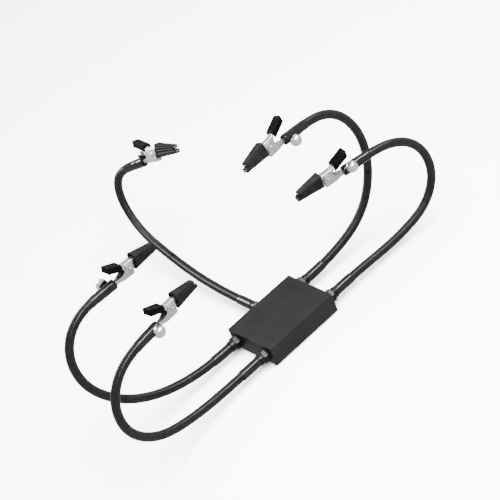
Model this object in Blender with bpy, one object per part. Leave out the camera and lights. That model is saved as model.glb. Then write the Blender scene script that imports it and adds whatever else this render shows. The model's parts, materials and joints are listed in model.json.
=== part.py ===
"""A helping hands station: a steel block holding five bendable arms, each ending in a spring clip.

Lengths are written in millimetres and turned into metres where the meshes are made.
World frame: X along the block, Y towards the back arm, Z up, with Z = 0 under the rubber pad.
"""

import math

import bmesh
import bpy
import numpy as np
from mathutils import Matrix, Vector

MM = 0.001
GAP = 0.3  # air left between two touching pieces

# Base
BLOCK_LENGTH = 80.0
BLOCK_WIDTH = 60.0
BLOCK_HEIGHT = 20.0
BLOCK_CHAMFER = 0.5
PAD_THICKNESS = 1.2
PAD_INSET = 2.0
BLOCK_BOTTOM = PAD_THICKNESS + GAP
ARM_HEIGHT = BLOCK_BOTTOM + BLOCK_HEIGHT / 2
ARM_OFFSET = 20.0  # side arms stand this far either side of the block's middle
STUD_RADIUS = 3.8
STUD_LENGTH = 8.0

# Arms
ARM_LENGTH = 300.0  # from the block's face to the mouth of the socket
NECK_RADIUS = 4.2
NECK_START = 7.0
NECK_SPANS = 36
STRAIGHT_ROOT = 20.0
STRETCH = 50.0  # length over which each pair of turns below happens
EASE = 12.0  # how far each turn spreads into its neighbours
STEP = 0.5  # stride used to walk the course
SOCKET_LENGTH = 18.0
SOCKET_RADIUS = 4.6
BORE_RADIUS = 2.95
BORE_DEPTH = 14.0
SCREW_SETBACK = 5.5  # the thumb screw's distance behind the mouth
SCREW_RADIUS = 1.45

# Spring clip, in its own frame: X forward from the socket's mouth, Z towards the lever
BEND_STATION = 2.0  # where the clip noses down from its straight tail
SHEET = 0.7
FOLD = 0.6  # outer chamfer along each fold of the sheet
INNER_FOLD = 0.3
LEVER_END = (-4.4, 19.2)
LEVER_FRONT = (11.5, 13.1)
PIVOT = (19.0, 6.0)
PIVOT_HOLE_RADIUS = 1.3
BITE = 8.0  # height of the plane where the two jaws meet

# Each arm: where it leaves the block, its heading, the turns of its thumb screw and of its clip about
# the socket, the bend between the clip and its tail, and how many degrees each stretch lifts and sways
# (sway is to the right of the heading).
ARMS = {
    "left_back": {
        "exit": (-BLOCK_LENGTH / 2, ARM_OFFSET),
        "heading": (-1, 0, 0),
        "screw_turn": 170,
        "clip_turn": 8,
        "tail_bend": 3.0,
        "lift": (15, 23, 25, 39, 84),
        "sway": (0, -3, 2, -4, 12),
    },
    "left_front": {
        "exit": (-BLOCK_LENGTH / 2, -ARM_OFFSET),
        "heading": (-1, 0, 0),
        "screw_turn": 5,
        "clip_turn": 3,
        "tail_bend": 5.0,
        "lift": (9, 14, 35, 48, 75),
        "sway": (-8, -4, 1, 5, 15),
    },
    "right_back": {
        "exit": (BLOCK_LENGTH / 2, ARM_OFFSET),
        "heading": (1, 0, 0),
        "screw_turn": 195,
        "clip_turn": 12,
        "tail_bend": 7.5,
        "lift": (16, 50, 30, 27, 49),
        "sway": (2, 6, 4, -3, -2),
    },
    "right_front": {
        "exit": (BLOCK_LENGTH / 2, -ARM_OFFSET),
        "heading": (1, 0, 0),
        "screw_turn": 150,
        "clip_turn": -6,
        "tail_bend": 2.5,
        "lift": (-3, 18, 73, 42, 48),
        "sway": (1, 5, 4, -3, -15),
    },
    "rear": {
        "exit": (0, BLOCK_WIDTH / 2),
        "heading": (0, 1, 0),
        "screw_turn": 165,
        "clip_turn": -28,
        "tail_bend": 8.5,
        "lift": (3, 4, 8, 51, 92),
        "sway": (2, 4, -1, 4, 7),
    },
}


# ---------------------------------------------------------------- helpers


def clear_scene():
    for old in list(bpy.data.objects):
        bpy.data.objects.remove(old, do_unlink=True)


def material(name, colour, roughness, metallic=0.0):
    made = bpy.data.materials.new(name)
    made.use_nodes = True
    shader = made.node_tree.nodes["Principled BSDF"]
    shader.inputs["Base Color"].default_value = (*colour, 1.0)
    shader.inputs["Roughness"].default_value = roughness
    shader.inputs["Metallic"].default_value = metallic
    return made


def finish_mesh(name, bm, shading_angle=40):
    """Turns a bmesh in millimetres into a named mesh in metres, faces outward."""
    bmesh.ops.recalc_face_normals(bm, faces=bm.faces)
    bmesh.ops.scale(bm, vec=(MM, MM, MM), verts=bm.verts)
    mesh = bpy.data.meshes.new(name)
    bm.to_mesh(mesh)
    bm.free()
    mesh.shade_smooth()
    mesh.set_sharp_from_angle(angle=math.radians(shading_angle))
    return mesh


def loft(name, rings, cyclic=False):
    """Skins rings of equal point counts. Open lofts are capped at both ends; cyclic ones are tubes."""
    bm = bmesh.new()
    rows = [[bm.verts.new(point) for point in ring] for ring in rings]
    pairs = list(zip(rows, rows[1:]))
    if cyclic:
        pairs.append((rows[-1], rows[0]))
    for near, far in pairs:
        for i in range(len(near)):
            j = (i + 1) % len(near)
            bm.faces.new((near[i], near[j], far[j], far[i]))
    if not cyclic:
        bm.faces.new(reversed(rows[0]))
        bm.faces.new(rows[-1])
    return finish_mesh(name, bm)


def ring(station, radius, sides):
    """A circle about the X axis."""
    turns = [2 * math.pi * i / sides for i in range(sides)]
    return [(station, radius * math.cos(a), radius * math.sin(a)) for a in turns]


def hexagon(station, flats, sides=12):
    """A hexagon about the X axis, with as many points as a ring of that many sides."""
    points = []
    for i in range(sides):
        angle = 2 * math.pi * i / sides
        off_flat = (angle + math.pi / 6) % (math.pi / 3) - math.pi / 6
        reach = flats / 2 / math.cos(off_flat)
        points.append((station, reach * math.cos(angle), reach * math.sin(angle)))
    return points


def turned(name, profile, sides):
    return loft(name, [ring(station, radius, sides) for station, radius in profile])


def channel(station, half_width, base, rim):
    """A folded sheet's section: a U with its base at one height and the ends of its walls at another."""
    side = 1 if rim > base else -1
    inner = half_width - SHEET
    floor = base + SHEET * side
    outline = [
        (-half_width, rim),
        (-half_width, base + FOLD * side),
        (-half_width + FOLD, base),
        (half_width - FOLD, base),
        (half_width, base + FOLD * side),
        (half_width, rim),
        (inner, rim),
        (inner, floor + INNER_FOLD * side),
        (inner - INNER_FOLD, floor),
        (-inner + INNER_FOLD, floor),
        (-inner, floor + INNER_FOLD * side),
        (-inner, rim),
    ]
    return [(station, y, z) for y, z in outline]


def boot_section(station, half_width, face, crown):
    """Half of a rounded box, flat at face and with its rounded corners at crown."""
    outline = [
        (-0.9, 0.0),
        (-1.0, 0.12),
        (-1.0, 0.68),
        (-0.88, 0.9),
        (-0.6, 1.0),
        (0.6, 1.0),
        (0.88, 0.9),
        (1.0, 0.68),
        (1.0, 0.12),
        (0.9, 0.0),
    ]
    return [(station, y * half_width, face + z * (crown - face)) for y, z in outline]


def cylinder_mesh(name, centre, direction, radius, length, sides):
    """A closed cylinder, used as a cutter."""
    bm = bmesh.new()
    turn = Vector(direction).to_track_quat("Z", "Y").to_matrix().to_4x4()
    bmesh.ops.create_cone(
        bm,
        cap_ends=True,
        segments=sides,
        radius1=radius,
        radius2=radius,
        depth=length,
        matrix=Matrix.Translation(centre) @ turn,
    )
    return finish_mesh(name, bm)


def cut(mesh, cutter_meshes):
    """The mesh with each cutter taken away by a Boolean."""
    body = bpy.data.objects.new("cut_body", mesh)
    bpy.context.scene.collection.objects.link(body)
    cutters = []
    for cutter_mesh in cutter_meshes:
        cutter = bpy.data.objects.new("cutter", cutter_mesh)
        cutter.hide_render = True
        cutter.display_type = "WIRE"
        bpy.context.scene.collection.objects.link(cutter)
        boolean = body.modifiers.new("cut", "BOOLEAN")
        boolean.object = cutter
        boolean.operation = "DIFFERENCE"
        boolean.solver = "EXACT"
        cutters.append(cutter)
    graph = bpy.context.evaluated_depsgraph_get()
    made = bpy.data.meshes.new_from_object(body.evaluated_get(graph))
    made.name = mesh.name
    for used in [body, *cutters]:
        bpy.data.objects.remove(used, do_unlink=True)
    made.shade_smooth()
    made.set_sharp_from_angle(angle=math.radians(40))
    return made


def add(name, data, look, parent=None, at=(0, 0, 0), turn=(0, 0, 0)):
    made = bpy.data.objects.new(name, data)
    bpy.context.scene.collection.objects.link(made)
    made.parent = parent
    made.location = Vector(at) * MM
    made.rotation_euler = turn
    if data is not None:
        if not data.materials:
            data.materials.append(look)
        made.material_slots[0].link = "OBJECT"
        made.material_slots[0].material = look
    return made


# ---------------------------------------------------------------- the arm's course


def course(arm, stations):
    """Points and directions of the arm's centre line at these distances from the block's face."""
    heading = Vector(arm["heading"])
    up = Vector((0, 0, 1))
    right = heading.cross(up)
    knots = [0.0] + [STRAIGHT_ROOT + STRETCH * i for i in range(len(arm["lift"]) + 1)]
    lifts = np.concatenate([[0, 0], np.cumsum(arm["lift"])])
    sways = np.concatenate([[0, 0], np.cumsum(arm["sway"])])
    spread = np.linspace(-EASE, EASE, 5)

    def direction(distance):
        lift = math.radians(np.interp(distance + spread, knots, lifts).mean())
        sway = math.radians(np.interp(distance + spread, knots, sways).mean())
        level = heading * math.cos(lift) + up * math.sin(lift)
        return level * math.cos(sway) + right * math.sin(sway)

    point = Vector((*arm["exit"], ARM_HEIGHT))
    walked = 0.0
    points, directions = [], []
    for station in stations:
        while walked < station - 1e-6:
            stride = min(STEP, station - walked)
            point = point + direction(walked + stride / 2) * stride
            walked += stride
        points.append(point.copy())
        directions.append(direction(station))
    return points, directions


def mouth_frame(arm):
    """The socket's mouth: X out of the mouth, Z the most upward direction across it."""
    points, directions = course(arm, [ARM_LENGTH])
    forward = directions[0].normalized()
    up = Vector((0, 0, 1))
    up = (up - forward * up.dot(forward)).normalized()
    left = up.cross(forward)
    frame = Matrix((forward, left, up)).transposed().to_4x4()
    return Matrix.Translation(points[0] * MM) @ frame


def clip_bend(arm):
    """The clip's frame in its tail's: turned nose down about the bend."""
    bend = Matrix.Translation(Vector((BEND_STATION, 0, 0)) * MM)
    return bend @ Matrix.Rotation(math.radians(arm["tail_bend"]), 4, "Y") @ bend.inverted()


# ---------------------------------------------------------------- meshes


def block_mesh():
    bm = bmesh.new()
    bmesh.ops.create_cube(bm, size=1)
    bmesh.ops.scale(bm, vec=(BLOCK_LENGTH, BLOCK_WIDTH, BLOCK_HEIGHT), verts=bm.verts)
    bmesh.ops.translate(bm, vec=(0, 0, BLOCK_BOTTOM + BLOCK_HEIGHT / 2), verts=bm.verts)
    bmesh.ops.bevel(bm, geom=bm.edges[:], offset=BLOCK_CHAMFER, segments=1, affect="EDGES")
    block = finish_mesh("base_block", bm)
    depth, overshoot = STUD_LENGTH + GAP, 5.0
    holes = []
    for arm in ARMS.values():
        inward = -Vector(arm["heading"])
        middle = Vector((*arm["exit"], ARM_HEIGHT)) + inward * (depth - overshoot) / 2
        holes.append(
            cylinder_mesh("hole", middle, inward, STUD_RADIUS + 0.5, depth + overshoot, 16)
        )
    return cut(block, holes)


def pad_mesh():
    bm = bmesh.new()
    bmesh.ops.create_cube(bm, size=1)
    size = (BLOCK_LENGTH - 2 * PAD_INSET, BLOCK_WIDTH - 2 * PAD_INSET, PAD_THICKNESS)
    bmesh.ops.scale(bm, vec=size, verts=bm.verts)
    bmesh.ops.translate(bm, vec=(0, 0, PAD_THICKNESS / 2), verts=bm.verts)
    upright = [e for e in bm.edges if abs(e.verts[0].co.z - e.verts[1].co.z) > 0.5]
    bmesh.ops.bevel(bm, geom=upright, offset=3, segments=3, affect="EDGES", profile=0.5)
    return finish_mesh("base_pad", bm)


def fitting_mesh():
    """Hexagon fitting: a stud into the block, the nut, and a collar bored for the gooseneck."""
    bore, collar = NECK_RADIUS + 0.4, 5.4
    rings = [
        ring(NECK_START - 0.4, bore, 12),
        ring(10.5, bore, 12),
        ring(10.5, collar, 12),
        ring(6.3, collar, 12),
        hexagon(6.0, 11.4),
        hexagon(5.4, 12.4),
        hexagon(GAP, 12.4),
        ring(GAP, STUD_RADIUS, 12),
        ring(0.6 - STUD_LENGTH, STUD_RADIUS, 12),
        ring(-STUD_LENGTH, STUD_RADIUS - 0.6, 12),
    ]
    return loft("root_fitting", rings)


def neck_curve(arm):
    end = ARM_LENGTH - SOCKET_LENGTH - GAP
    points, _ = course(arm, np.linspace(NECK_START, end, NECK_SPANS + 1))
    curve = bpy.data.curves.new("gooseneck", "CURVE")
    curve.dimensions = "3D"
    curve.bevel_depth = NECK_RADIUS * MM
    curve.bevel_resolution = 2
    curve.use_fill_caps = True
    spline = curve.splines.new("POLY")
    spline.points.add(len(points) - 1)
    for spot, point in zip(spline.points, points):
        spot.co = (*(point * MM), 1.0)
    return curve


def socket_mesh():
    """Metal ferrule on the end of the arm, bored for the clip's tail and drilled for the thumb screw."""
    profile = [
        (-BORE_DEPTH, BORE_RADIUS),
        (0, BORE_RADIUS),
        (0, SOCKET_RADIUS),
        (0.6 - SOCKET_LENGTH, SOCKET_RADIUS),
        (-SOCKET_LENGTH, SOCKET_RADIUS - 0.6),
    ]
    hole = cylinder_mesh("screw_hole", (-SCREW_SETBACK, -4.5, 0), (0, 1, 0), SCREW_RADIUS + 0.4, 7, 12)
    return cut(turned("socket", profile, 16), [hole])


def thumb_screw_mesh():
    """Turned about X, which points out of the socket: shank, washer collar and domed head."""
    profile = [
        (BORE_RADIUS, SCREW_RADIUS - 0.3),
        (BORE_RADIUS + 0.4, SCREW_RADIUS),
        (5.0, SCREW_RADIUS),
        (5.0, 3.5),
        (6.0, 3.5),
        (6.2, 4.6),
        (7.4, 5.5),
        (9.4, 5.5),
        (11.3, 4.7),
        (12.8, 3.0),
        (13.5, 1.0),
    ]
    return turned("thumb_screw", profile, 12)


def straightened(points, tail_bend):
    """Tail points turned back by the bend, so that the tail runs straight out of the socket."""
    turn = Matrix.Rotation(-math.radians(tail_bend), 3, "Y")
    bend = Vector((BEND_STATION, 0, 0))
    return [turn @ (Vector(point) - bend) + bend for point in points]


def jaw_lower_mesh(tail_bend):
    """Fixed half: tail tube, body with its two ears, and the lower jaw, all one folded sheet."""
    tail = [(-12.0, 1.9, -1.9, 1.7), (BEND_STATION, 1.9, -1.9, 1.7)]
    stations = [
        (7.0, 2.8, -1.9, 2.6),
        (11.5, 3.9, -1.8, 5.0),
        (14.0, 3.9, -1.7, 9.5),
        (16.0, 3.9, -1.6, 10.8),
        (21.0, 3.9, -1.5, 10.8),
        (22.9, 3.9, -1.5, 8.4),
        (24.2, 2.9, 3.2, 6.8),
        (51.3, 1.6, 5.4, 6.8),
    ]
    rings = [straightened(channel(*station), tail_bend) for station in tail]
    rings += [channel(*station) for station in stations]
    return cut(loft("jaw_lower", rings), [pivot_cutter()])


def jaw_upper_mesh():
    """Moving half: lever plate, the cheeks that hang on the rivet, and the upper jaw."""
    stations = [
        (LEVER_END[0], 2.9, LEVER_END[1], LEVER_END[1] - 1.8),
        (LEVER_FRONT[0], 2.9, LEVER_FRONT[1], LEVER_FRONT[1] - 1.8),
        (14.5, 2.9, 12.4, 3.6),
        (21.0, 2.9, 12.6, 3.6),
        (22.6, 2.9, 12.8, 9.2),
        (48.9, 1.6, 10.6, 9.2),
    ]
    body = loft("jaw_upper", [channel(*station) for station in stations])
    return moved(cut(body, [pivot_cutter()]), (-PIVOT[0], 0, -PIVOT[1]))


def moved(mesh, offset):
    mesh.transform(Matrix.Translation(Vector(offset) * MM))
    return mesh


def pivot_cutter():
    return cylinder_mesh("pivot_hole", (PIVOT[0], 0, PIVOT[1]), (0, 1, 0), PIVOT_HOLE_RADIUS, 12, 12)


def rivet_mesh():
    """Turned about X, laid across the clip when placed."""
    profile = [
        (-5.1, 0.9),
        (-4.7, 1.9),
        (-4.2, 1.9),
        (-4.2, 1.0),
        (4.2, 1.0),
        (4.2, 1.9),
        (4.7, 1.9),
        (5.1, 0.9),
    ]
    return turned("rivet", profile, 10)


def spring_curve():
    """Torsion spring round the rivet, one leg under the lever and one in the tail."""
    turns, per_turn, coil_radius, reach = 3, 10, 2.0, 1.3
    start = math.radians(150)
    points = [(9.0, -reach, 12.2)]
    for i in range(turns * per_turn + 3):
        angle = start - 2 * math.pi * i / per_turn
        y = -reach + 2 * reach * i / (turns * per_turn + 2)
        x = PIVOT[0] + coil_radius * math.cos(angle)
        z = PIVOT[1] + coil_radius * math.sin(angle)
        points.append((x, y, z))
    points.append((7.5, reach, -0.2))
    curve = bpy.data.curves.new("spring", "CURVE")
    curve.dimensions = "3D"
    curve.bevel_depth = 0.35 * MM
    curve.bevel_resolution = 0
    curve.use_fill_caps = True
    spline = curve.splines.new("POLY")
    spline.points.add(len(points) - 1)
    for spot, point in zip(spline.points, points):
        spot.co = (*(Vector(point) * MM), 1.0)
    return curve


def boot_mesh(name, upper):
    """Rubber boot round one jaw, open at both ends so that the metal tip just shows."""
    side = 1 if upper else -1
    rear_height = 7.8 if upper else 6.6
    tip = 49.6 if upper else 52.0
    stations = [
        (25.2, 4.9, rear_height),
        (27.0, 4.9, rear_height - 0.2),
        (tip - 1.2, 3.1, 4.4),
        (tip, 2.9, 4.0),
    ]
    wall_face = 0.7
    wall_round = 0.75
    face = 0.15

    def section(station, half_width, height, inset):
        inner = 1 if inset else 0
        return boot_section(
            station,
            half_width - wall_round * inner,
            BITE + side * (face + wall_face * inner),
            BITE + side * (face + height - wall_round * inner),
        )

    outside = [section(*station, inset=False) for station in stations]
    inside = [section(*station, inset=True) for station in (stations[-1], stations[-2], stations[0])]
    mesh = loft(name, outside + inside, cyclic=True)
    return moved(mesh, (-PIVOT[0], 0, -PIVOT[1])) if upper else mesh


def grip_mesh():
    """Vinyl cover on the lever: a U that hangs over it, with its far corners cut off."""
    slope = (LEVER_END[1] - LEVER_FRONT[1]) / (LEVER_END[0] - LEVER_FRONT[0])
    rings = []
    for station, half_width in ((-5.9, 3.9), (-5.2, 4.6), (10.0, 4.6)):
        lever_top = LEVER_FRONT[1] + slope * (station - LEVER_FRONT[0])
        top, under, rim = lever_top + 2.0, lever_top + GAP, lever_top - 4.4
        inner = min(3.3, half_width - 0.6)
        outline = [
            (-half_width, rim),
            (-half_width, top - 1.0),
            (-half_width + 1.0, top),
            (half_width - 1.0, top),
            (half_width, top - 1.0),
            (half_width, rim),
            (inner, rim),
            (inner, under),
            (-inner, under),
            (-inner, rim),
        ]
        rings.append([(station - PIVOT[0], y, z - PIVOT[1]) for y, z in outline])
    return loft("lever_grip", rings)


# ---------------------------------------------------------------- assembly


def build():
    clear_scene()
    paint = material("black_paint", (0.045, 0.045, 0.047), 0.45, 0.2)
    oxide = material("black_oxide_steel", (0.05, 0.05, 0.052), 0.38, 0.9)
    plated = material("nickel_plate", (0.72, 0.72, 0.70), 0.28, 1.0)
    chrome = material("chrome", (0.85, 0.85, 0.85), 0.12, 1.0)
    spring_steel = material("spring_steel", (0.12, 0.12, 0.12), 0.4, 1.0)
    rubber = material("rubber", (0.02, 0.02, 0.02), 0.6)
    vinyl = material("vinyl", (0.008, 0.008, 0.008), 0.45)

    add("base_block", block_mesh(), paint)
    add("base_pad", pad_mesh(), rubber)

    fitting = fitting_mesh()
    socket = socket_mesh()
    screw = thumb_screw_mesh()
    jaw_upper = jaw_upper_mesh()
    rivet = rivet_mesh()
    spring = spring_curve()
    boot_lower = boot_mesh("boot_lower", upper=False)
    boot_upper = boot_mesh("boot_upper", upper=True)
    grip = grip_mesh()
    pivot = (PIVOT[0], 0, PIVOT[1])
    quarter = math.pi / 2

    for name, arm in ARMS.items():
        root = add(f"exit_{name}", None, None, at=(*arm["exit"], ARM_HEIGHT))
        root.rotation_euler.z = math.atan2(arm["heading"][1], arm["heading"][0])
        add(f"root_fitting_{name}", fitting, oxide, root)
        add(f"gooseneck_{name}", neck_curve(arm), oxide)

        mouth = add(f"mouth_{name}", None, None)
        mouth.matrix_world = mouth_frame(arm)
        turn = -math.radians(arm["screw_turn"])
        add(f"socket_{name}", socket, oxide, mouth, turn=(turn, 0, 0))
        screw_axis = add(f"screw_axis_{name}", None, None, mouth, turn=(turn, 0, 0))
        set_back = (-SCREW_SETBACK, 0, 0)
        add(f"thumb_screw_{name}", screw, chrome, screw_axis, at=set_back, turn=(0, 0, -quarter))

        swivel = add(f"swivel_{name}", None, None, mouth, turn=(math.radians(arm["clip_turn"]), 0, 0))
        clip = add(f"clip_{name}", None, None, swivel)
        clip.matrix_local = clip_bend(arm)
        hinge = add(f"pivot_{name}", None, None, clip, at=pivot)
        add(f"jaw_lower_{name}", jaw_lower_mesh(arm["tail_bend"]), plated, clip)
        add(f"boot_lower_{name}", boot_lower, rubber, clip)
        add(f"spring_{name}", spring, spring_steel, clip)
        add(f"rivet_{name}", rivet, plated, hinge, turn=(0, 0, quarter))
        add(f"jaw_upper_{name}", jaw_upper, plated, hinge)
        add(f"boot_upper_{name}", boot_upper, rubber, hinge)
        add(f"lever_grip_{name}", grip, vinyl, hinge)


build()
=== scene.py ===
"""The looks of a helping hands station: a painted steel block, bendable arms and their spring clips.

Lengths are in millimetres, and they turn into metres where the meshes are made. The block and the
pieces that follow an arm are made in the world's frame; the others are made in their own and placed.
"""

import json
import math

import bmesh
import bpy
import numpy as np
from mathutils import Matrix, Vector


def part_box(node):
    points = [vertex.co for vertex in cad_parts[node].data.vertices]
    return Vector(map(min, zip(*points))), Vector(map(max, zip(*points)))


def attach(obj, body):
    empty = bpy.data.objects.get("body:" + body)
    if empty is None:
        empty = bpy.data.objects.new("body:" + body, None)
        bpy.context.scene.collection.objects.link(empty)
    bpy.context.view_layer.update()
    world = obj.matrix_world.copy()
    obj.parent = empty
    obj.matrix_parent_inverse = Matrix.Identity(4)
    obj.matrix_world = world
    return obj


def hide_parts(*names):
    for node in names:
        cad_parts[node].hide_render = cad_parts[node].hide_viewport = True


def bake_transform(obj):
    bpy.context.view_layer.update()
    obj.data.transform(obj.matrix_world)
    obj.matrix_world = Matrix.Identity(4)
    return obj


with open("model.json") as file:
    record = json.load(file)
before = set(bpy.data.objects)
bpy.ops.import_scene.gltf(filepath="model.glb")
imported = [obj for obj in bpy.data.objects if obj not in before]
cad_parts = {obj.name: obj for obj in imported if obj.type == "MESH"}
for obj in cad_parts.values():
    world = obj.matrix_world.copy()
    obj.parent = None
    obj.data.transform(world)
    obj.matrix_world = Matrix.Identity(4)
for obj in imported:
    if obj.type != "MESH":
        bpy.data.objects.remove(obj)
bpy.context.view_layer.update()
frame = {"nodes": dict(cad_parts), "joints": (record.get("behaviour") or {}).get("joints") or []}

MM = 0.001

# The arms, as in part.py
ARM_HEIGHT = 11.5
ARM_LENGTH = 300.0
STRAIGHT_ROOT = 20.0
STRETCH = 50.0
EASE = 12.0
STEP = 0.5
ARMS = {
    "left_back": {
        "exit": (-40, 20),
        "heading": (-1, 0, 0),
        "tail_bend": 3.0,
        "lift": (15, 23, 25, 39, 84),
        "sway": (0, -3, 2, -4, 12),
    },
    "left_front": {
        "exit": (-40, -20),
        "heading": (-1, 0, 0),
        "tail_bend": 5.0,
        "lift": (9, 14, 35, 48, 75),
        "sway": (-8, -4, 1, 5, 15),
    },
    "right_back": {
        "exit": (40, 20),
        "heading": (1, 0, 0),
        "tail_bend": 7.5,
        "lift": (16, 50, 30, 27, 49),
        "sway": (2, 6, 4, -3, -2),
    },
    "right_front": {
        "exit": (40, -20),
        "heading": (1, 0, 0),
        "tail_bend": 2.5,
        "lift": (-3, 18, 73, 42, 48),
        "sway": (1, 5, 4, -3, -15),
    },
    "rear": {
        "exit": (0, 30),
        "heading": (0, 1, 0),
        "tail_bend": 8.5,
        "lift": (3, 4, 8, 51, 92),
        "sway": (2, 4, -1, 4, 7),
    },
}

# Where the arms flex, as distances along them
NECK_SPLIT = 135.0

# Gooseneck winding
WIRE_PITCH = 2.4
WIRE_CREST = 4.25
WIRE_DEPTH = 0.5
WIRE_ROWS = 6  # rows of points on each turn
WIRE_SIDES = 24
NECK_FIRST, NECK_LAST = 22.0, 280.0  # where the winding starts under one sleeve and ends under the other
ROOT_SLEEVE_RADIUS = 4.75
SLEEVE_BORE = 3.8

# Clip, in part.py's clip frame
PIVOT = (19.0, 6.0)
BEND_STATION = 2.0
BITE = 8.0
SHEET = 0.7
BEAD_SPREAD = 0.75  # how far the lever's bead fades to either side
LEVER_END = (-4.4, 19.2)
LEVER_FRONT = (11.5, 13.1)
GRIP_WALL = -4.75  # inner side of the grip's closed end

# Camera
CAMERA_PLACE = (-0.6622, -1.2664, 1.1057)
CAMERA_AIM = (-0.0007, 0.0010, 0.0964)
CAMERA_ROLL = -24.47
CAMERA_LENS = 142.7


# ---------------------------------------------------------------- materials


def new_material(name, metallic=0.0, gloss=0.5):
    """A material, its nodes and its shader; gloss is the shader's specular level."""
    made = bpy.data.materials.new(name)
    made.use_nodes = True
    shader = made.node_tree.nodes["Principled BSDF"]
    shader.inputs["Metallic"].default_value = metallic
    shader.inputs["Specular IOR Level"].default_value = gloss
    return made, made.node_tree, shader


def greys(tree, shader, dark, light, scale, detail=4.0):
    """The base colour: a neutral grey that wanders between two values."""
    tint(tree, shader, remap(tree, noise(tree, scale, detail), 0, 1), (dark,) * 3, (light,) * 3)


def sheen_range(tree, shader, low, high, scale, detail=4.0):
    """Roughness that wanders between two values."""
    tree.links.new(remap(tree, noise(tree, scale, detail), low, high), shader.inputs["Roughness"])


def noise(tree, scale, detail=3.0, stretch=(1, 1, 1)):
    """A noise value over the piece's own coordinates, in metres, optionally stretched."""
    place = tree.nodes.new("ShaderNodeTexCoord")
    mapping = tree.nodes.new("ShaderNodeMapping")
    mapping.inputs["Scale"].default_value = stretch
    tree.links.new(place.outputs["Object"], mapping.inputs["Vector"])
    made = tree.nodes.new("ShaderNodeTexNoise")
    made.inputs["Scale"].default_value = scale
    made.inputs["Detail"].default_value = detail
    tree.links.new(mapping.outputs["Vector"], made.inputs["Vector"])
    return made.outputs["Fac"]


def remap(tree, value, low, high, start=0.3, stop=0.7):
    """Spreads the values from start to stop over low to high."""
    made = tree.nodes.new("ShaderNodeMapRange")
    made.inputs["From Min"].default_value = start
    made.inputs["From Max"].default_value = stop
    made.inputs["To Min"].default_value = low
    made.inputs["To Max"].default_value = high
    tree.links.new(value, made.inputs["Value"])
    return made.outputs["Result"]


def tint(tree, shader, value, dark, light):
    """The base colour: dark where the value is 0, light where it is 1."""
    mix = tree.nodes.new("ShaderNodeMix")
    mix.data_type = "RGBA"
    tree.links.new(value, mix.inputs["Factor"])
    mix.inputs["A"].default_value = (*dark, 1)
    mix.inputs["B"].default_value = (*light, 1)
    tree.links.new(mix.outputs["Result"], shader.inputs["Base Color"])


def bump(tree, shader, value, distance, strength=1.0, below=None):
    """A bump on the shader, laid over the one below; distance is in metres."""
    made = tree.nodes.new("ShaderNodeBump")
    made.inputs["Distance"].default_value = distance
    made.inputs["Strength"].default_value = strength
    tree.links.new(value, made.inputs["Height"])
    if below is not None:
        tree.links.new(below, made.inputs["Normal"])
    tree.links.new(made.outputs["Normal"], shader.inputs["Normal"])
    return made.outputs["Normal"]


def block_paint():
    """Powder coat: a fine orange peel over slow waves."""
    made, tree, shader = new_material("block_paint", gloss=0.06)
    greys(tree, shader, 0.0038, 0.0052, 45.0)
    sheen_range(tree, shader, 0.36, 0.48, 160.0, 5)
    peel = bump(tree, shader, noise(tree, 2200.0, 2), 0.00004, 0.5)
    bump(tree, shader, noise(tree, 420.0, 2), 0.00005, 0.3, below=peel)
    return made


def black_oxide():
    made, tree, shader = new_material("black_oxide", metallic=0.9)
    greys(tree, shader, 0.006, 0.02, 900.0)
    sheen_range(tree, shader, 0.24, 0.42, 500.0, 5)
    bump(tree, shader, noise(tree, 1500.0, 3), 0.00003, 0.5)
    return made


def neck_wire():
    made, tree, shader = new_material("neck_wire", gloss=0.14)
    greys(tree, shader, 0.0015, 0.004, 350.0)
    sheen_range(tree, shader, 0.1, 0.18, 700.0)
    bump(tree, shader, noise(tree, 2500.0, 3), 0.00003, 0.4)
    return made


def shrink_sleeve():
    made, tree, shader = new_material("shrink_sleeve", gloss=0.2)
    greys(tree, shader, 0.002, 0.004, 250.0)
    sheen_range(tree, shader, 0.07, 0.13, 420.0, 5)
    bump(tree, shader, noise(tree, 300.0, 3), 0.0001, 0.2)
    return made


def ribbed_rubber():
    made, tree, shader = new_material("ribbed_rubber", gloss=0.045)
    greys(tree, shader, 0.002, 0.005, 300.0, 5)
    sheen_range(tree, shader, 0.38, 0.55, 900.0)
    bump(tree, shader, noise(tree, 3000.0, 4), 0.00005, 0.5)
    return made


def dipped_vinyl():
    made, tree, shader = new_material("dipped_vinyl", gloss=0.03)
    greys(tree, shader, 0.0005, 0.001, 260.0)
    sheen_range(tree, shader, 0.3, 0.46, 500.0)
    bump(tree, shader, noise(tree, 700.0, 4), 0.0001, 0.35)
    return made


def pad_rubber():
    made, tree, shader = new_material("pad_rubber", gloss=0.2)
    greys(tree, shader, 0.006, 0.015, 200.0, 5)
    sheen_range(tree, shader, 0.7, 0.9, 300.0)
    bump(tree, shader, noise(tree, 1500.0, 5), 0.0001, 0.6)
    return made


def chrome():
    made, tree, shader = new_material("chrome", metallic=1.0)
    greys(tree, shader, 0.72, 0.84, 300.0)
    sheen_range(tree, shader, 0.14, 0.3, 900.0, 5)
    bump(tree, shader, noise(tree, 1500.0, 3, (1, 8, 8)), 0.00001, 0.3)
    return made


def nickel():
    """Pressed and barrel-plated sheet: brushed along the clip, dented and unevenly bright."""
    made, tree, shader = new_material("nickel", metallic=1.0)
    greys(tree, shader, 0.45, 0.72, 420.0, 5)
    sheen_range(tree, shader, 0.22, 0.4, 600.0, 5)
    dents = bump(tree, shader, noise(tree, 260.0, 3), 0.00012, 0.4)
    bump(tree, shader, noise(tree, 900.0, 3, (0.15, 1, 1)), 0.00004, 0.5, below=dents)
    return made


def spring_wire():
    made, tree, shader = new_material("spring_wire", metallic=1.0)
    greys(tree, shader, 0.01, 0.04, 600.0)
    sheen_range(tree, shader, 0.25, 0.5, 900.0)
    bump(tree, shader, noise(tree, 2500.0, 3), 0.00002, 0.4)
    return made


# ---------------------------------------------------------------- meshes


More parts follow.
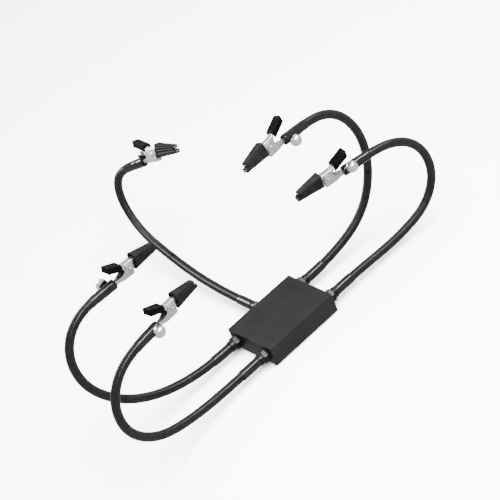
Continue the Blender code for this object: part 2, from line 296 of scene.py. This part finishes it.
def finish_mesh(name, bm, look, sharp=40):
    """Turns a bmesh in millimetres into a named object in metres, faces outward."""
    bmesh.ops.recalc_face_normals(bm, faces=bm.faces)
    bmesh.ops.scale(bm, vec=(MM, MM, MM), verts=bm.verts)
    mesh = bpy.data.meshes.new(name)
    bm.to_mesh(mesh)
    bm.free()
    mesh.shade_smooth()
    mesh.set_sharp_from_angle(angle=math.radians(sharp))
    mesh.materials.append(look)
    made = bpy.data.objects.new(name, mesh)
    bpy.context.scene.collection.objects.link(made)
    return made


def skin(name, rings, look, cyclic=False, sharp=40):
    """Skins rings of equal point counts. Open skins are capped; cyclic ones are tubes."""
    bm = bmesh.new()
    rows = [[bm.verts.new(point) for point in ring] for ring in rings]
    pairs = list(zip(rows, rows[1:]))
    if cyclic:
        pairs.append((rows[-1], rows[0]))
    count = len(rows[0])
    for near, far in pairs:
        for i in range(count):
            j = (i + 1) % count
            bm.faces.new((near[i], near[j], far[j], far[i]))
    if not cyclic:
        bm.faces.new(reversed(rows[0]))
        bm.faces.new(rows[-1])
    return finish_mesh(name, bm, look, sharp)


def circle(station, radius, sides):
    turns = [2 * math.pi * i / sides for i in range(sides)]
    return [(station, radius * math.cos(a), radius * math.sin(a)) for a in turns]


def turned(name, profile, look, sides=48, cyclic=False, sharp=35):
    """A piece turned about X from (station, radius) points."""
    return skin(name, [circle(x, r, sides) for x, r in profile], look, cyclic, sharp)


def arc(centre, radius, start, stop, count=8):
    """Points of an arc in a profile's plane, angles in degrees."""
    angles = [math.radians(start + (stop - start) * i / (count - 1)) for i in range(count)]
    return [(centre[0] + radius * math.cos(a), centre[1] + radius * math.sin(a)) for a in angles]


def eased(x, keys, ease=1.0):
    """The straight-line value through (x, value) keys, averaged a little way either side."""
    places = [k[0] for k in keys]
    values = [k[1] for k in keys]
    return float(np.interp(x + np.linspace(-ease, ease, 9), places, values).mean())


# ---------------------------------------------------------------- the arm's course


def course(arm):
    """Points and a carried-along frame every STEP from the block's face to the socket's mouth."""
    heading = Vector(arm["heading"])
    up = Vector((0, 0, 1))
    right = heading.cross(up)
    knots = [0.0] + [STRAIGHT_ROOT + STRETCH * i for i in range(len(arm["lift"]) + 1)]
    lifts = np.concatenate([[0, 0], np.cumsum(arm["lift"])])
    sways = np.concatenate([[0, 0], np.cumsum(arm["sway"])])
    spread = np.linspace(-EASE, EASE, 5)

    def direction(distance):
        lift = math.radians(np.interp(distance + spread, knots, lifts).mean())
        sway = math.radians(np.interp(distance + spread, knots, sways).mean())
        level = heading * math.cos(lift) + up * math.sin(lift)
        return level * math.cos(sway) + right * math.sin(sway)

    count = round(ARM_LENGTH / STEP)
    point = Vector((*arm["exit"], ARM_HEIGHT))
    side = right
    points, forwards, sides = [point.copy()], [direction(0)], [side.copy()]
    for i in range(count):
        point = point + direction((i + 0.5) * STEP) * STEP
        forward = direction((i + 1) * STEP)
        side = (side - forward * side.dot(forward)).normalized()
        points.append(point.copy())
        forwards.append(forward.normalized())
        sides.append(side.copy())
    return {"points": np.array(points), "forwards": np.array(forwards), "sides": np.array(sides)}


def sample(way, key, stations):
    """The course's points or directions at these distances along it."""
    grid = np.arange(len(way["points"])) * STEP
    return np.stack([np.interp(stations, grid, way[key][:, i]) for i in range(3)], axis=-1)


def around(way, stations, angles, radii):
    """Points at these distances along the arm, angles about it and radii from its centre line."""
    stations = np.asarray(stations, float)
    forward = sample(way, "forwards", stations)
    side = sample(way, "sides", stations)
    across = np.cross(forward, side)
    reach = np.asarray(radii, float)[..., None]
    angles = np.asarray(angles, float)[..., None]
    return sample(way, "points", stations) + reach * (np.cos(angles) * side + np.sin(angles) * across)


def sleeve(name, way, profile, look, sides=32):
    """A closed tube that follows the arm, from a loop of (station, radius) points."""
    angles = np.linspace(0, 2 * math.pi, sides, endpoint=False)
    rings = [around(way, np.full(sides, x), angles, np.full(sides, r)) for x, r in profile]
    return skin(name, rings, look, cyclic=True, sharp=50)


# ---------------------------------------------------------------- gooseneck


def winding(name, way, first_turn, last_turn, look):
    """A stretch of wound neck. Its points follow the helix, so every groove runs along mesh edges."""
    rows = (last_turn - first_turn) * WIRE_ROWS + 1
    row = np.arange(rows)[:, None]
    side = np.arange(WIRE_SIDES)[None, :]
    turns = first_turn + row / WIRE_ROWS + side / WIRE_SIDES
    phase = 2 * ((row / WIRE_ROWS) % 1.0) - 1
    bulge = np.sqrt(1 - 0.93 * phase**2)
    radii = WIRE_CREST - WIRE_DEPTH * (1 - bulge) + 0 * side
    angles = 2 * math.pi * side / WIRE_SIDES + 0 * row
    points = around(way, turns * WIRE_PITCH, angles, radii)
    bm = bmesh.new()
    verts = [[bm.verts.new(point) for point in ring] for ring in points]
    for i in range(rows - 1):
        for j in range(WIRE_SIDES - 1):
            bm.faces.new((verts[i][j], verts[i][j + 1], verts[i + 1][j + 1], verts[i + 1][j]))
        # The last side joins the first one a whole turn further on.
        k = i + WIRE_ROWS
        if k + 1 < rows:
            bm.faces.new((verts[i][-1], verts[k][0], verts[k + 1][0], verts[i + 1][-1]))
    return finish_mesh(name, bm, look, sharp=75)


def neck_pieces(name, way, looks):
    first = round(NECK_FIRST / WIRE_PITCH)
    split = round(NECK_SPLIT / WIRE_PITCH)
    last = round(NECK_LAST / WIRE_PITCH)
    lower = winding(f"neck_lower_{name}", way, first, split + 1, looks["wire"])
    upper = winding(f"neck_upper_{name}", way, split, last, looks["wire"])
    for piece in (lower, upper):
        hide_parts(f"gooseneck_{name}")
    swing(lower)
    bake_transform(upper)

    outer = ROOT_SLEEVE_RADIUS
    profile = [
        (10.8, SLEEVE_BORE),
        (10.8, outer - 0.1),
        (11.2, outer),
        (31.2, outer),
        (32.0, outer - 0.15),
        (32.4, outer - 0.4),
        (32.4, SLEEVE_BORE),
    ]
    root = sleeve(f"root_sleeve_{name}", way, dense(profile), looks["shrink"])
    swing(root)


def dense(profile, longest=3.0):
    """The same outline with points added, so that a long stretch can bend."""
    made = []
    for (x0, r0), (x1, r1) in zip(profile, profile[1:] + profile[:1]):
        parts = max(1, math.ceil(abs(x1 - x0) / longest))
        made += [(x0 + (x1 - x0) * i / parts, r0 + (r1 - r0) * i / parts) for i in range(parts)]
    return made


def swing(piece):
    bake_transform(piece)


def end_sleeve(name, way, looks):
    """Heat-shrink over the socket: wide over the metal, drawn in where the neck begins."""
    profile = [
        (271.5, SLEEVE_BORE),
        (271.5, 4.35),
        (272.2, 4.5),
        (277.0, 4.52),
        (281.0, 4.6),
        (284.0, 4.76),
        (290.0, 4.82),
        (298.5, 4.86),
        (300.0, 4.84),
        (300.7, 4.78),
        (300.8, 4.7),
        (300.2, 4.63),
        (282.0, 4.62),
        (281.0, SLEEVE_BORE),
    ]
    piece = straight_end_sleeve(f"end_sleeve_{name}", way, dense(profile, 2.0), looks["shrink"])
    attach(piece, f"end_{name}")


def straight_end_sleeve(name, way, profile, look):
    """Like sleeve, but wrinkled, and it may run past the arm's end, straight on."""
    sides = 40
    angles = np.linspace(0, 2 * math.pi, sides, endpoint=False)
    forward = way["forwards"][-1]
    rings = []
    for station, radius in profile:
        beyond = max(0.0, station - ARM_LENGTH)
        wave = 0.05 * np.sin(3 * angles + station * 0.7) + 0.04 * np.sin(7 * angles - station * 0.9)
        wrinkle = wave if radius > 4.3 else 0 * wave
        ring = around(way, np.full(sides, min(station, ARM_LENGTH)), angles, radius + wrinkle)
        rings.append(ring + forward * beyond)
    return skin(name, rings, look, cyclic=True, sharp=50)


# ---------------------------------------------------------------- base


def base_block(looks):
    low, high = (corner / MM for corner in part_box("base_block"))
    bm = bmesh.new()
    bmesh.ops.create_cube(bm, size=1)
    bmesh.ops.scale(bm, vec=high - low, verts=bm.verts)
    bmesh.ops.translate(bm, vec=(low + high) / 2, verts=bm.verts)
    bmesh.ops.bevel(bm, geom=bm.edges[:], offset=0.45, segments=3, affect="EDGES", profile=0.5)
    block = finish_mesh("block", bm, looks["paint"], sharp=60)
    modifier = block.modifiers.new("weighted", "WEIGHTED_NORMAL")
    modifier.keep_sharp = True
    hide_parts("base_block")
    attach(block, "base")


def hexagon_reach(angle, flats):
    """Distance from the middle of a hexagon to its edge, at this angle."""
    off_flat = (angle + math.pi / 6) % (math.pi / 3) - math.pi / 6
    return flats / 2 / math.cos(off_flat)


def root_fitting(name, arm, looks):
    """Hexagon nut with turned chamfers, and the collar that the neck leaves."""
    sides = 72
    flats = 12.4
    corner = flats / math.sqrt(3)
    stations = [0.3, 0.5, 0.75, 1.0, 5.1, 5.4, 5.65, 5.9]
    rings = []
    for x in stations:
        chamfer = flats / 2 - 0.05 + min(x - 0.3, 5.9 - x) * 1.5
        ring = []
        for i in range(sides):
            angle = 2 * math.pi * i / sides
            reach = min(hexagon_reach(angle, flats), chamfer, corner - 0.1)
            ring.append((x, reach * math.cos(angle), reach * math.sin(angle)))
        rings.append(ring)
    collar = [(5.95, 5.4), (6.3, 5.35), (10.0, 5.35), (10.35, 5.25), (10.5, 5.05), (10.5, 4.8), (8.0, 4.8)]
    rings += [circle(x, r, sides) for x, r in collar]
    piece = skin(f"hex_fitting_{name}", rings, looks["oxide"], sharp=25)
    turn = math.atan2(arm["heading"][1], arm["heading"][0])
    place = Vector((*arm["exit"], ARM_HEIGHT)) * MM
    piece.matrix_world = Matrix.Translation(place) @ Matrix.Rotation(turn, 4, "Z")
    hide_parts(f"root_fitting_{name}")
    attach(piece, "base")


# ---------------------------------------------------------------- clip


def joint(name):
    return next(j for j in frame["joints"] if j["name"] == name)


def axes_frame(place, x_axis, y_axis):
    """A frame at place, with X and Y along these directions."""
    forward = Vector(x_axis).normalized()
    left = Vector(y_axis)
    left = (left - forward * left.dot(forward)).normalized()
    turn = Matrix((forward, left, forward.cross(left))).transposed().to_4x4()
    return Matrix.Translation(place) @ turn


def clip_frame(name):
    """The clip's frame as in part.py: its pivot on the jaw's hinge, nosed down from the tail."""
    hinge = joint(f"jaw_{name}_open")
    tail = Vector(joint(f"swivel_{name}")["axis"])
    left = -Vector(hinge["axis"])
    forward = Matrix.Rotation(math.radians(ARMS[name]["tail_bend"]), 3, left) @ tail
    at_pivot = axes_frame(Vector(hinge["pos_m"]), forward, left)
    return at_pivot @ Matrix.Translation(Vector((-PIVOT[0], 0, -PIVOT[1])) * MM)


def thumb_screw(name, looks):
    """Plated dome on a short neck, with a black ring under it that fills the gap to the sleeve."""
    hinge = joint(f"screw_turn_{name}")
    out = Vector(hinge["axis"])
    tail = Vector(joint(f"swivel_{name}")["axis"])
    place = axes_frame(Vector(hinge["pos_m"]), out, tail)
    head = [(2.95, 1.15), (3.3, 1.45), (6.05, 1.45), (6.05, 3.8)]
    head += arc((6.5, 4.2), 0.45, 200, 110, 4)
    head += arc((8.2, 0.0), 5.45, 110, 8, 18)
    dome = turned(f"screw_dome_{name}", head, looks["chrome"], sides=64)
    dome.matrix_world = place
    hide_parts(f"thumb_screw_{name}")
    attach(dome, f"screw_{name}")
    # A black vinyl ring in the gap between the dome and the sleeve.
    rim = [(5.0, 1.5)] + arc((5.2, 3.95), 0.2, 180, 90, 4) + arc((5.8, 3.95), 0.2, 90, 0, 4) + [(6.0, 1.5)]
    dark_ring = turned(f"screw_washer_{name}", rim, looks["vinyl"], sides=48, cyclic=True)
    dark_ring.matrix_world = place
    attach(dark_ring, f"screw_{name}")


def folded(x, half_width, base, rim, bead=0.0, fold=1.0):
    """A folded sheet's section: a U with round folds, thickness SHEET, and a bead along its base."""
    side = 1 if rim > base else -1
    left = [(-half_width, rim)]
    for a in quarter():
        left.append((-half_width + fold * (1 - math.cos(a)), base + side * fold * (1 - math.sin(a))))
    span = half_width - fold
    across = np.linspace(-span, span, 13)[1:-1]
    ridge = [(y, base - side * bead * math.exp(-((y / BEAD_SPREAD) ** 2))) for y in across]
    right = [(-y, z) for y, z in reversed(left)]
    return offset_section(x, left + ridge + right, side)


def quarter(count=5):
    """Angles over a quarter turn."""
    return [math.pi / 2 * i / (count - 1) for i in range(count)]


def offset_section(x, path, side):
    """Closes an open outline into a sheet: out along it, and back along its inner side."""
    points = np.array(path)
    run = np.gradient(points, axis=0)
    run /= np.linalg.norm(run, axis=1)[:, None]
    inward = np.stack([-run[:, 1], run[:, 0]], axis=1) * side
    inner = (points + inward * SHEET)[::-1]
    return [(x, y, z) for y, z in np.concatenate([points, inner])]


def spaced(*stretches):
    """Stations in runs of (start, stop, count), each without its last point, and the last stop."""
    made = []
    for start, stop, count in stretches:
        made += list(np.linspace(start, stop, count, endpoint=False))
    return made + [stretches[-1][1]]


def jaw_lower(name, place, looks):
    """Fixed half: the tail in the socket, the body with its ears, and the lower jaw."""
    width = [(2, 2.0), (3, 2.2), (7, 2.9), (11, 3.9), (23.1, 3.9), (23.5, 2.9), (49.3, 1.6)]
    base = [(2, -1.9), (11.5, -1.8), (22.9, -1.5), (23.5, 2.6), (24.6, 3.2), (51.3, 5.4)]
    rim = [(2, 1.7), (7, 2.6), (11.5, 4.6), (14.2, 9.2), (16, 10.6), (21, 10.8)]
    rim += [(23, 8.0), (24.6, 6.8), (60, 6.8)]
    rings = []
    for x in (-12.0, -8.0, -4.0, -1.0, 0.6):
        rings.append(straightened(folded(x, 1.9, -1.9, 1.7, fold=0.8), ARMS[name]["tail_bend"]))
    for x in spaced((2.6, 11, 17), (11, 22, 26), (22, 25, 20), (25, 51.8, 17)):
        fold = 0.8 if x < 5 or x > 40 else 1.0
        rings.append(folded(x, eased(x, width, 0.3), eased(x, base, 0.3), eased(x, rim, 0.9), fold=fold))
    piece = skin(f"clip_body_{name}", rings, looks["nickel"], sharp=50)
    piece.matrix_world = place
    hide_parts(f"jaw_lower_{name}")
    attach(piece, f"clip_{name}")


def straightened(points, tail_bend):
    """Tail points turned back by the bend, so that the tail runs straight out of the socket."""
    turn = Matrix.Rotation(-math.radians(tail_bend), 3, "Y")
    bend = Vector((BEND_STATION, 0, 0))
    return [turn @ (Vector(point) - bend) + bend for point in points]


def jaw_upper(name, place, looks):
    """Moving half: beaded lever, the cheeks on the rivet, and the upper jaw."""
    base = [LEVER_END, LEVER_FRONT, (14.5, 12.4), (21, 12.6), (22.6, 12.8), (49.3, 10.6)]
    rim = [(LEVER_END[0], LEVER_END[1] - 1.8), (10.5, 11.6), (13.6, 5.0), (15.5, 3.4), (20.6, 3.4)]
    rim += [(22.4, 5.4), (23.6, 9.2), (60, 9.2)]
    width = [(-6, 2.9), (22.6, 2.9), (49.3, 1.6)]
    rings = []
    for x in spaced((LEVER_END[0], 9, 16), (9, 25, 42), (25, 49.6, 17)):
        bead = 0.45 * float(np.interp(x, [-3, 0, 14, 17], [0, 1, 1, 0]))
        fold = 0.8 if x > 36 else 1.0
        rings.append(folded(x, eased(x, width), eased(x, base), eased(x, rim, 0.7), bead, fold))
    piece = skin(f"clip_lever_{name}", rings, looks["nickel"], sharp=50)
    piece.matrix_world = place
    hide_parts(f"jaw_upper_{name}")
    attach(piece, f"jaw_{name}")


def rivet(name, place, looks):
    head = arc((-4.2, 0.0), 1.9, 180, 92, 8)
    head = [((x - 4.2) / 2, r) for x, r in head]
    profile = head + [(-4.2, 1.0)] + [(-x, r) for x, r in reversed(head + [(-4.2, 1.0)])]
    piece = turned(f"clip_rivet_{name}", profile, looks["nickel"], sides=32)
    across = Matrix.Translation(Vector((PIVOT[0], 0, PIVOT[1])) * MM) @ Matrix.Rotation(math.pi / 2, 4, "Z")
    piece.matrix_world = place @ across
    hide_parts(f"rivet_{name}")
    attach(piece, f"clip_{name}")


def wire_tube(name, points, radius, look, sides=10):
    """A closed round tube through these points."""
    points = [Vector(p) for p in points]
    rings = []
    normal = None
    for i, point in enumerate(points):
        run = (points[min(i + 1, len(points) - 1)] - points[max(i - 1, 0)]).normalized()
        if normal is None:
            normal = run.orthogonal().normalized()
        normal = (normal - run * normal.dot(run)).normalized()
        across = run.cross(normal)
        turns = [2 * math.pi * k / sides for k in range(sides)]
        rings.append([point + (normal * math.cos(a) + across * math.sin(a)) * radius for a in turns])
    return skin(name, rings, look, sharp=60)


def spring(name, place, looks):
    """Torsion spring: the coil and its lower leg stay with the body, the other leg with the lever."""
    turns = 3.3
    per_turn = 24
    coil_radius = 2.0
    reach = 1.5
    wire = 0.38
    start = math.radians(150)
    count = round(turns * per_turn)
    coil = []
    for i in range(count + 1):
        angle = start - 2 * math.pi * i / per_turn
        y = -reach + 2 * reach * i / count
        coil.append((PIVOT[0] + coil_radius * math.cos(angle), y, PIVOT[1] + coil_radius * math.sin(angle)))
    lower = coil + [(13.5, reach, 2.6), (8.5, reach, 0.1), (6.6, reach * 0.8, -0.3)]
    piece = wire_tube(f"spring_coil_{name}", lower, wire, looks["spring"])
    piece.matrix_world = place
    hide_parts(f"spring_{name}")
    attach(piece, f"clip_{name}")
    leg = [coil[0], (14.0, -reach, 9.5), (9.5, -reach, 12.3), (8.0, -reach, 12.7)]
    upper = wire_tube(f"spring_leg_{name}", leg, wire, looks["spring"])
    upper.matrix_world = place
    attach(upper, f"jaw_{name}")


def boot_outline(half, crown, corner, count):
    """Half of a rounded box: points spread evenly from one foot over the crown to the other."""
    right = [(half, 0.0)] + arc((half - corner, crown - corner), corner, 0, 90, 9)
    path = np.array(right + [(-y, z) for y, z in reversed(right)])
    walked = np.concatenate([[0], np.cumsum(np.linalg.norm(np.diff(path, axis=0), axis=1))])
    even = np.linspace(0, walked[-1], count)
    return np.stack([np.interp(even, walked, path[:, 0]), np.interp(even, walked, path[:, 1])], axis=1)


def boot(name, place, looks, upper):
    """Rubber boot: flat where the jaws meet, ribbed lengthwise over the rest, open at both ends."""
    side = 1 if upper else -1
    rear = 7.8 if upper else 6.6
    tip = 49.6 if upper else 52.0
    width = [(25.2, 4.9), (27.0, 4.9), (tip - 1.2, 3.1), (tip, 2.9)]
    height = [(25.2, rear), (27.0, rear - 0.2), (tip - 1.2, 4.55), (tip, 4.15)]
    ribs = 7
    round_points = 84
    flat_points = 6

    def ring(x, inset):
        half = eased(x, width, 0.3) - inset
        crown = eased(x, height, 0.3) - inset * 1.4
        face = 0.15 + 0.75 * float(np.interp(x, [tip - 1.6, tip - 0.3], [0, 1])) + inset * 0.7
        fade = float(np.interp(x, [26.6, 27.4, tip - 2.4, tip - 0.6], [0, 1, 1, 0]))
        outline = boot_outline(half, crown - face, 0.3 * crown, round_points + 1)
        if not inset:
            groove = np.cos(2 * math.pi * ribs * np.linspace(0, 1, round_points + 1)) - 1
            outline *= 1 + 0.3 * groove[:, None] * fade / crown
        points = [(x, y, BITE + side * (face + z)) for y, z in outline]
        for i in range(1, flat_points):
            y = -half + 2 * half * i / flat_points
            points.append((x, y, BITE + side * face))
        return points

    stations = spaced((25.2, 27.6, 8), (27.6, tip - 2, 18), (tip - 2, tip, 8))
    outside = [ring(x, 0.0) for x in stations]
    inside = [ring(x, 0.75) for x in (tip - 0.1, 48.0, 40.0, 32.0, 25.4)]
    half = "upper" if upper else "lower"
    piece = skin(f"rubber_boot_{half}_{name}", outside + inside, looks["rubber"], cyclic=True, sharp=50)
    piece.matrix_world = place
    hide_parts(f"boot_{half}_{name}")
    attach(piece, f"jaw_{name}" if upper else f"clip_{name}")


def lever_grip(name, place, looks):
    """Dipped cover on the lever: deep walls, its cut-off tail end closed, a shallow panel in its top."""
    slope = (LEVER_END[1] - LEVER_FRONT[1]) / (LEVER_END[0] - LEVER_FRONT[0])
    rings = []
    for x in spaced((-5.9, -4.8, 5), (-4.8, 8.8, 18), (8.8, 10.0, 5)):
        lever_top = LEVER_FRONT[1] + slope * (x - LEVER_FRONT[0])
        half = float(np.interp(x, [-5.9, -5.2, 9.7, 10.0], [3.9, 4.6, 4.6, 4.4]))
        top = lever_top + float(np.interp(x, [-5.9, -5.6, 9.7, 10.0], [1.7, 2.0, 2.0, 1.8]))
        panel = 0.28 * float(np.interp(x, [-4.0, -3.6, 7.8, 8.2], [0, 1, 1, 0]))
        rim = lever_top - 4.4
        under = rim + 0.4 if x < GRIP_WALL else lever_top + 0.3
        rings.append(grip_section(x, half, top, under, rim, panel))
    piece = skin(f"vinyl_grip_{name}", rings, looks["vinyl"], sharp=35)
    piece.matrix_world = place
    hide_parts(f"lever_grip_{name}")
    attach(piece, f"jaw_{name}")


def grip_section(x, half, top, under, rim, panel):
    fold = 0.9
    lip = 0.25
    inner = min(3.25, half - 0.5)
    left = [(-half + 0.5, rim), (-half + lip * 0.6, rim + 0.1), (-half, rim + lip)]
    left += [(-half + fold * (1 - math.cos(a)), top - fold * (1 - math.sin(a))) for a in quarter(6)]
    shelf = half - fold - 0.35
    left += [(-shelf, top), (-shelf + 0.3, top - panel), (-shelf * 0.4, top - panel)]
    outer = left + [(-y, z) for y, z in reversed(left)]
    cavity = [(inner, rim), (inner, under - 0.3), (inner - 0.3, under), (0.0, under)]
    cavity += [(-inner + 0.3, under), (-inner, under - 0.3), (-inner, rim)]
    return [(x, y, z) for y, z in outer + cavity]


def clip(name, looks):
    place = clip_frame(name)
    jaw_lower(name, place, looks)
    jaw_upper(name, place, looks)
    rivet(name, place, looks)
    spring(name, place, looks)
    boot(name, place, looks, upper=False)
    boot(name, place, looks, upper=True)
    lever_grip(name, place, looks)


# ---------------------------------------------------------------- stage


def floor():
    bm = bmesh.new()
    bmesh.ops.create_grid(bm, x_segments=1, y_segments=1, size=6000)
    look, tree, shader = new_material("floor")
    greys(tree, shader, 0.95, 0.97, 3.0, 2)
    sheen_range(tree, shader, 0.8, 0.9, 3.0, 2)
    made = finish_mesh("floor", bm, look)
    made.location.z = -0.0002
    made.visible_glossy = False


def softbox(name, place, aim, size, power, lights_up=True):
    """A lamp that lights surfaces and shows in no gloss or, without lights_up, shows only in gloss."""
    data = bpy.data.lights.new(name, "AREA")
    data.shape = "RECTANGLE"
    data.size, data.size_y = size
    data.energy = power
    made = bpy.data.objects.new(name, data)
    made.location = place
    made.rotation_euler = (Vector(aim) - Vector(place)).to_track_quat("-Z", "Y").to_euler()
    made.visible_diffuse = lights_up
    made.visible_glossy = not lights_up
    bpy.context.scene.collection.objects.link(made)


def lights():
    world = bpy.data.worlds.new("studio")
    world.use_nodes = True
    world.node_tree.nodes["Background"].inputs["Color"].default_value = (1, 1, 1, 1)
    world.node_tree.nodes["Background"].inputs["Strength"].default_value = 1.0
    bpy.context.scene.world = world
    centre = (0, 0.05, 0.08)
    softbox("top", (0.1, -0.45, 1.45), centre, (1.6, 1.6), 330)
    softbox("sheen", (-0.15, 0.45, 0.3), (0, 0, 0.02), (0.2, 0.2), 6, lights_up=False)
    softbox("sky", (0, 0, 2.0), centre, (2.4, 2.4), 9, lights_up=False)
    softbox("strip", (0.3, -0.6, 1.4), centre, (1.8, 0.15), 110, lights_up=False)


def camera():
    data = bpy.data.cameras.new("camera")
    data.sensor_width = 36
    data.lens = CAMERA_LENS
    data.clip_end = 50
    made = bpy.data.objects.new("camera", data)
    level = (Vector(CAMERA_AIM) - Vector(CAMERA_PLACE)).to_track_quat("-Z", "Y").to_matrix().to_4x4()
    roll = Matrix.Rotation(math.radians(CAMERA_ROLL), 4, "Z")
    made.matrix_world = Matrix.Translation(CAMERA_PLACE) @ level @ roll
    bpy.context.scene.collection.objects.link(made)
    bpy.context.scene.camera = made


# ---------------------------------------------------------------- assembly


def dress(nodes, look):
    """Gives CAD nodes that keep their shape a finished material."""
    for node in nodes:
        shown = frame["nodes"][node]
        for place in shown.material_slots:
            place.link = "OBJECT"
            place.material = look


def build():
    looks = {
        "paint": block_paint(),
        "oxide": black_oxide(),
        "wire": neck_wire(),
        "shrink": shrink_sleeve(),
        "rubber": ribbed_rubber(),
        "vinyl": dipped_vinyl(),
        "chrome": chrome(),
        "nickel": nickel(),
        "spring": spring_wire(),
    }
    dress(["base_pad"], pad_rubber())
    dress([f"socket_{name}" for name in ARMS], looks["oxide"])
    base_block(looks)
    for name, arm in ARMS.items():
        way = course(arm)
        root_fitting(name, arm, looks)
        neck_pieces(name, way, looks)
        end_sleeve(name, way, looks)
        thumb_screw(name, looks)
        clip(name, looks)


camera()
floor()
lights()
build()

bpy.context.view_layer.update()
